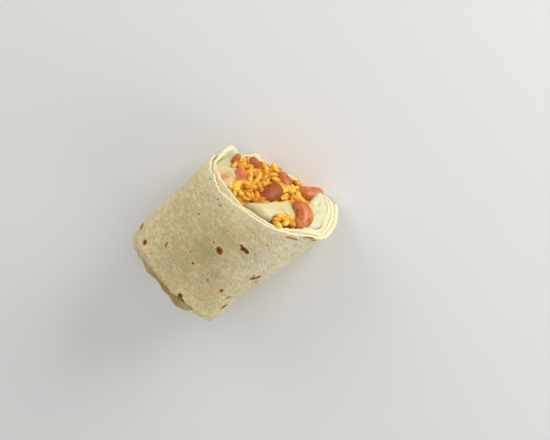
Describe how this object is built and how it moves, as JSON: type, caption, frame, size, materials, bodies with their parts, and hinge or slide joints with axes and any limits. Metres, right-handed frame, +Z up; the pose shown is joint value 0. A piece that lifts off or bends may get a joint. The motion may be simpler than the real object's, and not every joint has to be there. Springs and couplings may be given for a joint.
{
  "type": "burrito",
  "caption": "Half of a rolled flour-tortilla burrito, tucked shut at one end and cut on a slant at the other, filled with spiced rice, pinto beans and melted cheese.",
  "frame": {"origin": "middle of the bounding box at its bottom, on the surface that the roll rests on", "axes": "+X along the roll from the tucked end to the cut end, +Y across the roll, +Z up"},
  "size_m": [0.0964, 0.0722, 0.0495],
  "materials": {
    "tortilla": "dry, floury and toasted in spots",
    "rice": "moist, orange with spices",
    "bean": "smooth moist skin",
    "cheese": "melted, smooth and a little translucent"
  },
  "bodies": {
    "root": {"tortilla": "tortilla", "bean_1": "bean", "bean_2": "bean", "bean_3": "bean", "bean_4": "bean", "bean_5": "bean", "bean_6": "bean", "bean_7": "bean", "bean_8": "bean", "cheese_band": "cheese", "cheese_side": "cheese", "cheese_left": "cheese", "rice_filling": "rice"}
  },
  "joints": []
}
